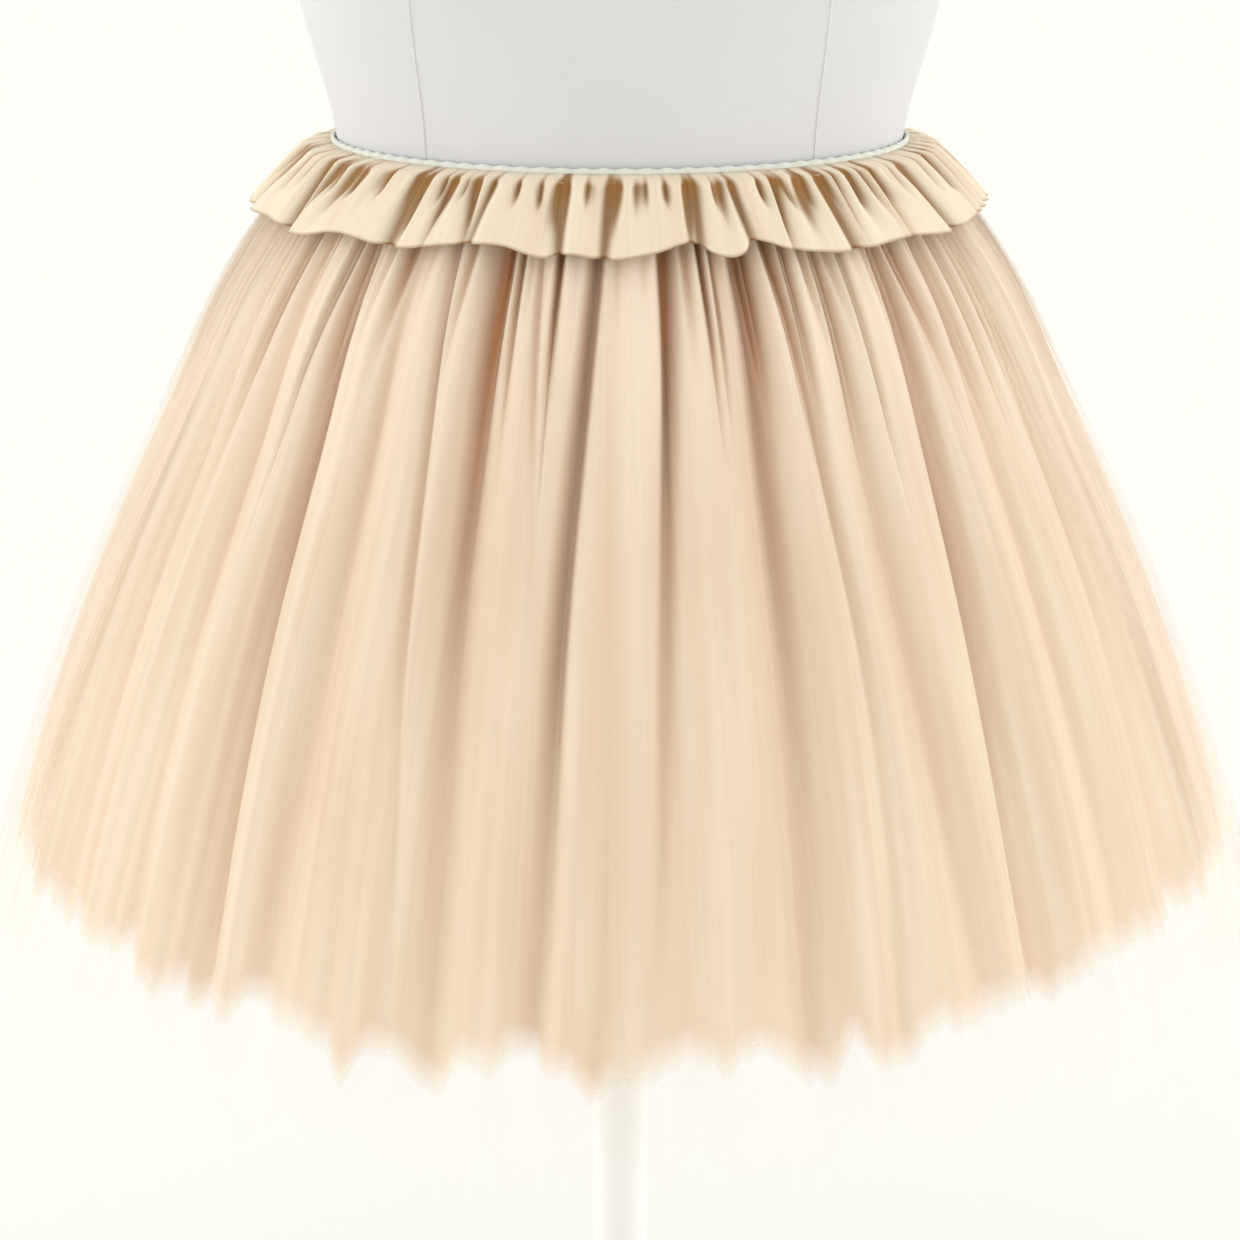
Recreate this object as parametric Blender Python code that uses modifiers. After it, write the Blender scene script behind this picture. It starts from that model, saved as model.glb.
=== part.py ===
"""A gathered tulle skirt on a limbless dress form, standing on a plain round stand.

Metres, +Z up. The front faces -Y, and the origin is the middle of the stand's underside.
The skirt is a tube of three cloth layers hung from an elastic waistband, with a ruffle over
the seam. Each layer is cut as a front and a back that meet at the side seams.
Angles round the skirt are in degrees from the centre front, positive towards +X.
"""

import math
from collections import namedtuple

import bmesh
import bpy

# ---- Driving sizes -------------------------------------------------------------------------

SKIRT_TOP_Z = 0.680          # top edge of the gathers, on the dress form's waist
TOP_HALF_WIDTH = 0.1320      # outermost tulle layer at its gathered top edge, along X
TOP_HALF_DEPTH = 0.1045      # the same along Y
CLOTH = 0.0010               # wall of a tulle or lining layer
SEAM_GAP = 0.0004            # left between pieces that are sewn together

LAYER_STEP_TOP = 0.0019      # from one layer's outside to the next, at the waist
LAYER_STEP_HEM = 0.0080      # the same at the hem, where the layers stand apart
LAYER_TOP_STAGGER = 0.0012   # each layer inwards is caught this much lower

BAND_TOP_Z = SKIRT_TOP_Z + 0.0020
BAND_HEIGHT = 0.0260
BAND_THICK = 0.0015
BAND_INSIDE = 0.0062         # the band's outside, in from the outermost tulle at the top edge
BAND_SPREAD = 0.0010         # how much further out its lower edge lies
RUFFLE_HEIGHT = 0.0310
RUFFLE_THICK = 0.0012
RUFFLE_FLARE = 0.0080

STAND_RADIUS = 0.170
STAND_THICK = 0.008
STAND_EDGE = 0.0025
POST_RADIUS = 0.0125
NECK_CAP_THICK = 0.012
FIT_GAP = 0.0003             # between hard pieces that touch

SKIRT_ROWS = 5
ROW_CROWDING = 1.3           # above 1, rows lie closer together near the waist
MIDDLE_SHARE = 0.45          # how far down the folds' middle depth is given
RUFFLE_ROWS = 3
FLUTE_GROWTH = 1.4           # above 1, flutes deepen mostly towards the ruffle's edge
FORM_COLUMNS = 56            # the waistband has as many, so that the two lie face to face
FORM_RING_STEP = 0.020       # at most about this far between the torso's rings

# ---- The skirt's own tables ----------------------------------------------------------------

# The bell, down from the top edge: how far its outside stands out beyond the top edge.
BellSection = namedtuple("BellSection", "drop out_side out_front")
BELL = (
    BellSection(0.000, 0.000, 0.000),
    BellSection(0.020, 0.015, 0.013),
    BellSection(0.050, 0.036, 0.031),
    BellSection(0.118, 0.069, 0.063),
    BellSection(0.186, 0.100, 0.093),
    BellSection(0.256, 0.126, 0.120),
    BellSection(0.327, 0.147, 0.143),
    BellSection(0.400, 0.165, 0.161),
)

# How far down each layer hangs, at the sides and at the centre front and back.
Layer = namedtuple("Layer", "name steps_in drop_side drop_front material")
LAYERS = (
    Layer("tulle_outer", 0, 0.366, 0.388, "tulle"),
    Layer("tulle_inner", 1, 0.334, 0.353, "tulle"),
    Layer("underskirt", 2, 0.322, 0.341, "satin"),
)

# The largest folds: troughs that run from the gathers towards the hem and lean as they go.
# Angles and half widths in degrees, depths in metres at the waist, halfway down and at the hem.
Trough = namedtuple("Trough", "top_angle hem_angle half_width at_waist at_middle at_hem")
TROUGHS = (
    Trough(-3.5, -6.5, 6.5, 0.0007, 0.013, 0.010),
    Trough(7.0, 3.5, 5.0, 0.0006, 0.009, 0.003),
    Trough(17.5, 15.0, 7.5, 0.0009, 0.016, 0.012),
    Trough(26.0, 24.0, 4.5, 0.0005, 0.005, 0.005),
    Trough(36.0, 38.0, 7.5, 0.0008, 0.015, 0.011),
    Trough(50.0, 53.0, 6.5, 0.0005, 0.007, 0.007),
    Trough(64.0, 66.0, 7.0, 0.0007, 0.011, 0.009),
    Trough(78.0, 78.0, 6.5, 0.0006, 0.008, 0.009),
    Trough(102.0, 101.0, 7.5, 0.0007, 0.012, 0.010),
    Trough(116.0, 118.0, 7.0, 0.0006, 0.008, 0.006),
    Trough(130.0, 132.0, 7.5, 0.0008, 0.014, 0.011),
    Trough(144.0, 143.0, 6.0, 0.0005, 0.007, 0.008),
    Trough(157.0, 158.0, 7.0, 0.0007, 0.013, 0.008),
    Trough(170.5, 172.0, 6.5, 0.0006, 0.009, 0.010),
    Trough(185.0, 183.0, 7.0, 0.0008, 0.014, 0.011),
    Trough(199.0, 201.0, 6.5, 0.0005, 0.008, 0.006),
    Trough(213.0, 213.0, 7.5, 0.0007, 0.013, 0.010),
    Trough(228.0, 229.0, 6.5, 0.0005, 0.007, 0.008),
    Trough(242.0, 241.0, 7.0, 0.0007, 0.012, 0.009),
    Trough(256.0, 257.0, 6.5, 0.0006, 0.009, 0.007),
    Trough(282.0, 282.0, 6.5, 0.0006, 0.009, 0.010),
    Trough(296.0, 294.0, 6.5, 0.0007, 0.010, 0.008),
    Trough(308.5, 307.0, 6.0, 0.0005, 0.007, 0.006),
    Trough(319.0, 322.0, 7.0, 0.0008, 0.015, 0.012),
    Trough(331.0, 333.5, 4.5, 0.0005, 0.005, 0.005),
    Trough(342.0, 344.5, 6.5, 0.0008, 0.015, 0.013),
)

# The ruffle's flutes: where its edge dips in towards the skirt.
Flute = namedtuple("Flute", "angle half_width depth")
FLUTES = (
    Flute(-2.0, 5.5, 0.0043),
    Flute(12.0, 4.5, 0.0046),
    Flute(21.0, 4.5, 0.0034),
    Flute(37.0, 7.0, 0.0053),
    Flute(56.0, 8.0, 0.0050),
    Flute(70.0, 6.0, 0.0037),
    Flute(82.0, 5.5, 0.0040),
    Flute(98.0, 6.5, 0.0050),
    Flute(113.0, 6.5, 0.0037),
    Flute(127.0, 7.0, 0.0053),
    Flute(142.0, 7.0, 0.0040),
    Flute(156.0, 6.5, 0.0050),
    Flute(170.0, 6.5, 0.0037),
    Flute(184.0, 7.0, 0.0053),
    Flute(198.0, 6.5, 0.0040),
    Flute(212.0, 7.0, 0.0050),
    Flute(227.0, 7.0, 0.0043),
    Flute(242.0, 6.5, 0.0050),
    Flute(256.0, 6.0, 0.0037),
    Flute(279.0, 6.5, 0.0046),
    Flute(298.0, 7.5, 0.0053),
    Flute(322.0, 7.5, 0.0050),
    Flute(337.5, 5.5, 0.0037),
    Flute(348.5, 5.0, 0.0050),
)

# ---- The dress form's table ----------------------------------------------------------------

# Level sections of the torso, by their height above the skirt's top edge. Forward is
# towards -Y. A boxiness of 2 is a plain ellipse.
FormSection = namedtuple("FormSection", "rise half_width half_depth forward boxiness")
FORM = (
    FormSection(-0.245, 0.1560, 0.1060, 0.000, 2.2),
    FormSection(-0.241, 0.1640, 0.1130, 0.000, 2.2),
    FormSection(-0.228, 0.1690, 0.1170, 0.000, 2.2),
    FormSection(-0.190, 0.1715, 0.1185, 0.000, 2.2),
    FormSection(-0.140, 0.1650, 0.1150, 0.000, 2.2),
    FormSection(-0.090, 0.1480, 0.1070, 0.000, 2.1),
    FormSection(-0.050, 0.1310, 0.0995, 0.000, 2.0),
    FormSection(-0.025, 0.1242, 0.0960, 0.000, 2.0),
    FormSection(-0.010, 0.1234, 0.0953, 0.000, 2.0),
    FormSection(0.005, 0.1238, 0.0955, 0.000, 2.0),
    FormSection(0.025, 0.1290, 0.0965, 0.000, 2.0),
    FormSection(0.050, 0.1365, 0.0985, 0.001, 2.1),
    FormSection(0.080, 0.1425, 0.1010, 0.003, 2.2),
    FormSection(0.130, 0.1510, 0.1060, 0.006, 2.3),
    FormSection(0.180, 0.1570, 0.1110, 0.008, 2.3),
    FormSection(0.230, 0.1610, 0.1070, 0.004, 2.3),
    FormSection(0.275, 0.1660, 0.0960, -0.002, 2.4),
    FormSection(0.310, 0.1700, 0.0840, -0.006, 2.4),
    FormSection(0.335, 0.1640, 0.0745, -0.010, 2.3),
    FormSection(0.355, 0.1420, 0.0680, -0.012, 2.2),
    FormSection(0.373, 0.1060, 0.0620, -0.012, 2.1),
    FormSection(0.388, 0.0760, 0.0570, -0.010, 2.0),
    FormSection(0.405, 0.0600, 0.0540, -0.006, 2.0),
    FormSection(0.430, 0.0550, 0.0530, -0.002, 2.0),
    FormSection(0.455, 0.0550, 0.0535, 0.000, 2.0),
)
BUST_RISE, BUST_X, BUST_OUT = 0.185, 0.076, 0.022
BUST_SPREAD_UP, BUST_SPREAD_X = 0.052, 0.050

# Colour, roughness and metallic value of each material.
Finish = namedtuple("Finish", "color roughness metallic")
FINISHES = {
    "tulle": Finish((0.86, 0.70, 0.54, 1.0), 0.75, 0.0),
    "satin": Finish((0.88, 0.74, 0.56, 1.0), 0.50, 0.0),
    "elastic": Finish((0.87, 0.85, 0.80, 1.0), 0.80, 0.0),
    "form_cover": Finish((0.80, 0.79, 0.78, 1.0), 0.85, 0.0),
    "stand_paint": Finish((0.88, 0.88, 0.87, 1.0), 0.40, 0.2),
}


# ---- Small helpers -------------------------------------------------------------------------


def clear_scene():
    """Removes what the scene holds."""
    for obj in list(bpy.data.objects):
        bpy.data.objects.remove(obj)


def make_collection(name):
    """A collection in the scene for the whole object."""
    made = bpy.data.collections.new(name)
    bpy.context.scene.collection.children.link(made)
    return made


def make_material(name, finish):
    """A Principled BSDF material."""
    made = bpy.data.materials.new(name)
    made.use_nodes = True
    shader = made.node_tree.nodes["Principled BSDF"]
    shader.inputs["Base Color"].default_value = finish.color
    shader.inputs["Roughness"].default_value = finish.roughness
    shader.inputs["Metallic"].default_value = finish.metallic
    return made


def smooth_step(t):
    """0 to 1 with level ends, for t from 0 to 1."""
    t = min(1.0, max(0.0, t))
    return t * t * (3.0 - 2.0 * t)


def curve_through(keys, values, at):
    """A smooth curve through the values at rising keys, read at one place."""
    at = min(max(at, keys[0]), keys[-1])
    last = len(keys) - 2
    i = next((n for n in range(last + 1) if at <= keys[n + 1]), last)
    before, after = max(i - 1, 0), min(i + 2, last + 1)
    span = keys[i + 1] - keys[i]
    slope_in = (values[i + 1] - values[before]) / (keys[i + 1] - keys[before]) * span
    slope_out = (values[after] - values[i]) / (keys[after] - keys[i]) * span
    t = (at - keys[i]) / span
    rise = values[i + 1] - values[i]
    return (values[i] + t * slope_in
            + t * t * (3.0 * rise - 2.0 * slope_in - slope_out)
            + t * t * t * (slope_in + slope_out - 2.0 * rise))


def column_of(table, name):
    """One named column of a table."""
    return [getattr(row, name) for row in table]


def turn_between(angle, other):
    """The turn from one angle to another, from -180 to 180 degrees."""
    return (angle - other + 180.0) % 360.0 - 180.0


def soft_trough(offset, half_width):
    """1 in the middle of a trough, falling smoothly to 0 at its sides."""
    if abs(offset) >= half_width:
        return 0.0
    return 0.5 + 0.5 * math.cos(math.pi * offset / half_width)


def mesh_object(name, points, faces, finish, collection):
    """An object from points and faces, shaded smooth."""
    mesh = bpy.data.meshes.new(name)
    mesh.from_pydata(points, [], faces)
    mesh.shade_smooth()
    mesh.materials.append(finish)
    obj = bpy.data.objects.new(name, mesh)
    collection.objects.link(obj)
    return obj


def lofted_faces(rings, columns, closed):
    """Quads between rings of points, listed so that they face away from the axis."""
    across = columns if closed else columns - 1
    return [
        (r * columns + c, (r + 1) * columns + c,
         (r + 1) * columns + (c + 1) % columns, r * columns + (c + 1) % columns)
        for r in range(rings - 1)
        for c in range(across)
    ]


def cloth_sheet(name, rings, closed, thick, finish, collection):
    """A loft through rings of points from the top down, given its wall inwards."""
    points = [point for ring in rings for point in ring]
    faces = lofted_faces(len(rings), len(rings[0]), closed)
    obj = mesh_object(name, points, faces, finish, collection)
    wall = obj.modifiers.new("wall", "SOLIDIFY")
    wall.thickness = thick
    wall.offset = -1.0
    return obj


# ---- The skirt -----------------------------------------------------------------------------


def trough_depth(trough, share_down):
    """How deep a trough is, for 0 at the waist to 1 at the hem."""
    depths = (trough.at_waist, trough.at_middle, trough.at_hem)
    return curve_through((0.0, MIDDLE_SHARE, 1.0), depths, share_down)


def fold_depth(angle, share_down):
    """How far all troughs together draw the cloth in at one place."""
    total = 0.0
    for trough in TROUGHS:
        lean = trough.hem_angle - trough.top_angle
        middle = trough.top_angle + lean * share_down
        reach = soft_trough(turn_between(angle, middle), trough.half_width)
        if reach:
            total += reach * trough_depth(trough, share_down)
    return total


def bell_size(drop):
    """Half the bell's width and half its depth, front to back, at one drop."""
    drops = column_of(BELL, "drop")
    return (TOP_HALF_WIDTH + curve_through(drops, column_of(BELL, "out_side"), drop),
            TOP_HALF_DEPTH + curve_through(drops, column_of(BELL, "out_front"), drop))


def skirt_point(angle, drop, share_down, steps_in):
    """A point on a layer's outside: drop is measured down from the top edge."""
    half_width, half_depth = bell_size(drop)
    step = LAYER_STEP_TOP + (LAYER_STEP_HEM - LAYER_STEP_TOP) * smooth_step(drop / BELL[-1].drop)
    inwards = steps_in * step + fold_depth(angle, share_down)
    turn = math.radians(angle)
    return (
        (half_width - inwards) * math.sin(turn),
        -(half_depth - inwards) * math.cos(turn),
        SKIRT_TOP_Z - drop,
    )


def lines_down(side, folds):
    """Pairs of angles, at the top and at the hem, for the lines that a front or back is built on.

    Folds are such pairs too. There is a line in each fold, one on the crest between two
    folds, one on each slope and one at each side seam.
    """
    middle = 0.0 if side == "front" else 180.0
    inside = sorted(
        (turn_between(top, middle), turn_between(hem, middle))
        for top, hem in folds
        if abs(turn_between(top, middle)) < 90.0
    )
    marks = [(-90.0, -90.0)]
    for before, after in zip(inside, inside[1:]):
        marks.append(before)
        marks.append(((before[0] + after[0]) / 2.0, (before[1] + after[1]) / 2.0))
    marks += [inside[-1], (90.0, 90.0)]
    lines = [marks[0]]
    for before, after in zip(marks, marks[1:]):
        lines.append(((before[0] + after[0]) / 2.0, (before[1] + after[1]) / 2.0))
        lines.append(after)
    return [(middle + top, middle + hem) for top, hem in lines]


def seam_gaps(angles, drop):
    """The angles with the first and the last drawn in by half the gap at the side seams."""
    half_gap = math.degrees(SEAM_GAP / 2.0 / bell_size(drop)[1])
    return [angles[0] + half_gap] + angles[1:-1] + [angles[-1] - half_gap]


def hem_drop(layer, angle):
    """How far down a layer hangs at one angle."""
    side_share = math.sin(math.radians(angle)) ** 2
    return layer.drop_front + (layer.drop_side - layer.drop_front) * side_share


def skirt_panel(layer, side, finish, collection):
    """The front or back of one layer of the skirt."""
    start = LAYER_TOP_STAGGER * (1 + layer.steps_in)
    lines = lines_down(side, [(t.top_angle, t.hem_angle) for t in TROUGHS])
    rings = []
    for row in range(SKIRT_ROWS + 1):
        share_down = (row / SKIRT_ROWS) ** ROW_CROWDING
        angles = [top + (hem - top) * share_down for top, hem in lines]
        ring = []
        for angle in seam_gaps(angles, layer.drop_side * share_down):
            drop = start + (hem_drop(layer, angle) - start) * share_down
            ring.append(skirt_point(angle, drop, share_down, layer.steps_in))
        rings.append(ring)
    return cloth_sheet(f"{layer.name}_{side}", rings, False, CLOTH, finish, collection)


def ruffle_point(angle, share_down):
    """A point on the ruffle's outside. It rides on the outer tulle and flares clear of it."""
    x, y, z = skirt_point(angle, RUFFLE_HEIGHT * share_down, 0.0, 0)
    flute = sum(f.depth * soft_trough(turn_between(angle, f.angle), f.half_width) for f in FLUTES)
    clear = RUFFLE_THICK + LAYER_STEP_TOP * 0.5 + RUFFLE_FLARE * share_down
    out = clear - flute * share_down ** FLUTE_GROWTH
    turn = math.radians(angle)
    return (x + out * math.sin(turn), y - out * math.cos(turn), z)


def ruffle_panel(side, finish, collection):
    """The front or back of the ruffle that covers the gathered seam."""
    lines = lines_down(side, [(f.angle, f.angle) for f in FLUTES])
    rings = []
    for row in range(RUFFLE_ROWS + 1):
        share_down = row / RUFFLE_ROWS
        angles = seam_gaps([top for top, _ in lines], RUFFLE_HEIGHT * share_down)
        rings.append([ruffle_point(angle, share_down) for angle in angles])
    return cloth_sheet(f"ruffle_{side}", rings, False, RUFFLE_THICK, finish, collection)


def waistband(finish, collection):
    """The elastic band inside the gathers, one closed loop. It widens a little downwards."""
    rings = []
    for share_down in (0.0, 1.0):
        out = BAND_SPREAD * share_down - BAND_INSIDE
        rings.append([
            ((TOP_HALF_WIDTH + out) * math.sin(math.tau * n / FORM_COLUMNS),
             -(TOP_HALF_DEPTH + out) * math.cos(math.tau * n / FORM_COLUMNS),
             BAND_TOP_Z - BAND_HEIGHT * share_down)
            for n in range(FORM_COLUMNS)
        ])
    return cloth_sheet("waistband", rings, True, BAND_THICK, finish, collection)


# ---- The dress form and its stand ----------------------------------------------------------


def form_ring(rise):
    """One level ring of points round the torso."""
    levels = column_of(FORM, "rise")
    width, depth, forward, boxiness = (
        curve_through(levels, column_of(FORM, name), rise)
        for name in ("half_width", "half_depth", "forward", "boxiness")
    )
    ring = []
    for n in range(FORM_COLUMNS):
        turn = math.tau * n / FORM_COLUMNS
        side, front = math.sin(turn), math.cos(turn)
        x = width * math.copysign(abs(side) ** (2.0 / boxiness), side)
        y = depth * math.copysign(abs(front) ** (2.0 / boxiness), front)
        upwards = math.exp(-((rise - BUST_RISE) / BUST_SPREAD_UP) ** 2)
        across = sum(math.exp(-((x - s * BUST_X) / BUST_SPREAD_X) ** 2) for s in (-1.0, 1.0))
        y += BUST_OUT * upwards * across * max(0.0, front)
        ring.append((x, -(y + forward), SKIRT_TOP_Z + rise))
    return ring


def form_torso(finish, collection):
    """The limbless torso, from below the hips to the top of the neck."""
    levels = column_of(FORM, "rise")
    rises = []
    for low, high in zip(levels, levels[1:]):
        steps = max(1, round((high - low) / FORM_RING_STEP))
        rises += [low + (high - low) * step / steps for step in range(steps)]
    rings = [form_ring(rise) for rise in reversed(rises + levels[-1:])]
    points = [point for ring in rings for point in ring]
    faces = lofted_faces(len(rings), FORM_COLUMNS, True)
    first_of_last = len(points) - FORM_COLUMNS
    faces.append(tuple(range(FORM_COLUMNS)))
    faces.append(tuple(reversed(range(first_of_last, len(points)))))
    return mesh_object("form_torso", points, faces, finish, collection)


def turned_piece(name, profile, steps, finish, collection):
    """A solid turned about Z from (radius, height) points that run down its outside."""
    shape = bmesh.new()
    verts = [shape.verts.new((radius, 0.0, z)) for radius, z in profile]
    for upper, lower in zip(verts, verts[1:]):
        shape.edges.new((upper, lower))
    mesh = bpy.data.meshes.new(name)
    shape.to_mesh(mesh)
    shape.free()
    mesh.materials.append(finish)
    obj = bpy.data.objects.new(name, mesh)
    collection.objects.link(obj)
    turn = obj.modifiers.new("turn", "SCREW")
    turn.steps = steps
    turn.render_steps = steps
    turn.use_merge_vertices = True
    turn.merge_threshold = 0.00005
    turn.use_smooth_shade = True
    return obj


def neck_cap(finish, collection):
    """A low domed cap on the neck."""
    low = SKIRT_TOP_Z + FORM[-1].rise + FIT_GAP
    radius = FORM[-1].half_width - 0.001
    profile = [
        (radius * math.cos(math.radians(a)), low + NECK_CAP_THICK * math.sin(math.radians(a)))
        for a in range(90, -1, -15)
    ]
    profile[0] = (0.0, low + NECK_CAP_THICK)
    profile.append((0.0, low))
    return turned_piece("form_neck_cap", profile, 40, finish, collection)


def stand_base(finish, collection):
    """The round weighted base plate."""
    profile = (
        (0.0, STAND_THICK),
        (STAND_RADIUS - STAND_EDGE, STAND_THICK),
        (STAND_RADIUS, STAND_THICK - STAND_EDGE),
        (STAND_RADIUS, STAND_EDGE),
        (STAND_RADIUS - STAND_EDGE, 0.0),
        (0.0, 0.0),
    )
    return turned_piece("stand_base", profile, 64, finish, collection)


def stand_post(finish, collection):
    """The post from the base plate to the underside of the form."""
    low = STAND_THICK + FIT_GAP
    high = SKIRT_TOP_Z + FORM[0].rise - FIT_GAP
    profile = ((0.0, high), (POST_RADIUS, high), (POST_RADIUS, low), (0.0, low))
    return turned_piece("stand_post", profile, 32, finish, collection)


def main():
    """Builds every piece."""
    clear_scene()
    whole = make_collection("tulle_skirt_on_dress_form")
    materials = {name: make_material(name, finish) for name, finish in FINISHES.items()}
    for side in ("front", "back"):
        for layer in LAYERS:
            skirt_panel(layer, side, materials[layer.material], whole)
        ruffle_panel(side, materials["satin"], whole)
    waistband(materials["elastic"], whole)
    form_torso(materials["form_cover"], whole)
    neck_cap(materials["stand_paint"], whole)
    stand_post(materials["stand_paint"], whole)
    stand_base(materials["stand_paint"], whole)


main()
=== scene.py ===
"""Looks of a gathered tulle skirt on a limbless dress form.

The skirt is three layers of cloth that hang from an elastic waistband, under a ruffled
heading. Each layer is an open sheet, front and back, that follows one bell with listed folds
laid in. Angles round the skirt are in degrees from the centre front, positive towards +X, and
a drop is a distance down from the gathers' top edge. All sizes are in metres.
"""
import logging
import math
from dataclasses import dataclass, replace
from enum import Enum

import bpy
import numpy as np
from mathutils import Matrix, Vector
from mathutils.bvhtree import BVHTree


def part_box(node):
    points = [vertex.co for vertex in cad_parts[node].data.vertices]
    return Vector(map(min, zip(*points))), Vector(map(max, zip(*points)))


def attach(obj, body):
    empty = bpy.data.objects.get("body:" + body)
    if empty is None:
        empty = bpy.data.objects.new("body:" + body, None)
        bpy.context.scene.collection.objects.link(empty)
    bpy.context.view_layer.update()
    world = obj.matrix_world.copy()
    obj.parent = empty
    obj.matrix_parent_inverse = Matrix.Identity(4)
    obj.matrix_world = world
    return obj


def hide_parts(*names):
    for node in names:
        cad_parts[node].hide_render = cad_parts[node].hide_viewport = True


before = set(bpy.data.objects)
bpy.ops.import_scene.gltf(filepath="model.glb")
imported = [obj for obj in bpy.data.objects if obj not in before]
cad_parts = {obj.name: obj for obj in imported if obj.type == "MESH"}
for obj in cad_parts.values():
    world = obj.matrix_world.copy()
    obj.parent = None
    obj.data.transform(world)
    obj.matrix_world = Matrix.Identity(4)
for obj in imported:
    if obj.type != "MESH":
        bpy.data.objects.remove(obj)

log = logging.getLogger("tulle_skirt")

BODY = "root"
BAND_ABOVE_GATHERS = 0.002
CREASE_SHARE = 0.40     # a crease's width, as a share of its fold's
CREASE_ROUND = 0.20     # how round its bottom is
SIDE_REACH = (0.0, 0.86, 0.955, 1.0)    # how far aside each value of the mark cover is given
HEM_LENGTH = 0.36       # the drop that counts as 1 for the folds and ripples

Array = np.ndarray
Socket = bpy.types.NodeSocket
Material = bpy.types.Material
Color = tuple[float, float, float, float]
Pair = tuple[Array, Array]
SheetData = tuple[Array, Array, dict[str, Array]]


# ---- Small helpers -------------------------------------------------------------------------


def shade(red: int, green: int, blue: int) -> Color:
    """A display colour as the linear colour that shaders take.

    Args:
        red: Red, 0 to 255.
        green: Green, 0 to 255.
        blue: Blue, 0 to 255.

    Returns:
        The linear colour with full alpha.
    """
    linear = []
    for value in (red, green, blue):
        share = value / 255.0
        linear.append(share / 12.92 if share <= 0.04045 else ((share + 0.055) / 1.055) ** 2.4)
    return (linear[0], linear[1], linear[2], 1.0)


def smooth_step(share: Array | float) -> Array | float:
    """0 to 1 with level ends, for a share from 0 to 1."""
    share = np.clip(share, 0.0, 1.0)
    return share * share * (3.0 - 2.0 * share)


def curve_through(keys: tuple[float, ...], values: tuple[float, ...], at: Array) -> Array:
    """A smooth curve through values at rising keys.

    Args:
        keys: Where the values are given, rising.
        values: One value for each key.
        at: Where to read the curve; beyond the ends it stays level.

    Returns:
        The curve's values, in the shape of at.
    """
    key, value = np.array(keys), np.array(values)
    slope = np.gradient(value, key)
    place = np.clip(at, key[0], key[-1])
    i = np.clip(np.searchsorted(key, place, side="right") - 1, 0, len(key) - 2)
    span = key[i + 1] - key[i]
    t = (place - key[i]) / span
    rise = value[i + 1] - value[i]
    slope_in, slope_out = slope[i] * span, slope[i + 1] * span
    return (value[i] + t * slope_in
            + t ** 2 * (3.0 * rise - 2.0 * slope_in - slope_out)
            + t ** 3 * (slope_in + slope_out - 2.0 * rise))


def blunt(away: Array, radius: float) -> Array:
    """A distance from 0 to 1 whose sharp zero is rounded over a radius."""
    top = math.sqrt(1.0 + radius ** 2) - radius
    return (np.sqrt(np.clip(away, 0.0, 1.0) ** 2 + radius ** 2) - radius) / top


def turn_between(angle: Array, other: Array | float) -> Array:
    """The turn from other to angle, from -180 to 180 degrees."""
    return (angle - other + 180.0) % 360.0 - 180.0


def soft_limit(value: Array, most: Array) -> Array:
    """A value from 0 up that eases off towards a limit instead of stopping at it."""
    return value / (1.0 + (value / most) ** 4) ** 0.25


def among_marks(angle: Array, count: int) -> Pair:
    """The place of each angle among a count of even marks round the skirt, and the marks."""
    return np.mod(angle, 360.0) / 360.0 * count, np.arange(count + 1)


def closed_draw(draw: np.random.Generator, low: float, high: float, count: int) -> Array:
    """Random values for a count of marks round the skirt, the last the same as the first.

    Args:
        draw: The random numbers.
        low: The least value.
        high: The greatest value.
        count: How many marks there are.

    Returns:
        One value more than the count.
    """
    values = draw.uniform(low, high, count + 1)
    values[-1] = values[0]
    return values


def add_object(name: str, data: bpy.types.ID) -> bpy.types.Object:
    """Puts a mesh, curve, light or camera in the scene.

    Args:
        name: The object's name.
        data: What it shows.

    Returns:
        The new object.
    """
    obj = bpy.data.objects.new(name, data)
    bpy.context.scene.collection.objects.link(obj)
    return obj


def select_only(obj: bpy.types.Object) -> None:
    """Makes one object the only selected and the active one.

    Args:
        obj: The object.
    """
    bpy.ops.object.select_all(action="DESELECT")
    obj.select_set(True)
    bpy.context.view_layer.objects.active = obj


def apply_place(obj: bpy.types.Object) -> None:
    """Moves an object's place, turn and scale into its mesh."""
    select_only(obj)
    bpy.ops.object.transform_apply(location=True, rotation=True, scale=True)


def thicken(obj: bpy.types.Object, thickness: float) -> None:
    """Gives an open sheet a wall, inwards from its points.

    Args:
        obj: The sheet.
        thickness: The wall's thickness.
    """
    wall = obj.modifiers.new("wall", "SOLIDIFY")
    wall.thickness = thickness
    wall.offset = -1.0
    select_only(obj)
    bpy.ops.object.modifier_apply(modifier="wall")


def dress(obj: bpy.types.Object, material: Material, slot: str, *nodes: str) -> None:
    """Gives a piece its finish and hides the CAD nodes that it stands for.

    Args:
        obj: The piece.
        material: Its finish.
        slot: The record's material slot; not used.
        nodes: The CAD nodes that it replaces.
    """
    obj.data.materials.clear()
    obj.data.materials.append(material)
    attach(obj, BODY)
    if nodes:
        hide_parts(*nodes)
    log.info("%s: %d faces", obj.name, len(obj.data.polygons))


# ---- Shader wiring -------------------------------------------------------------------------


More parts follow.
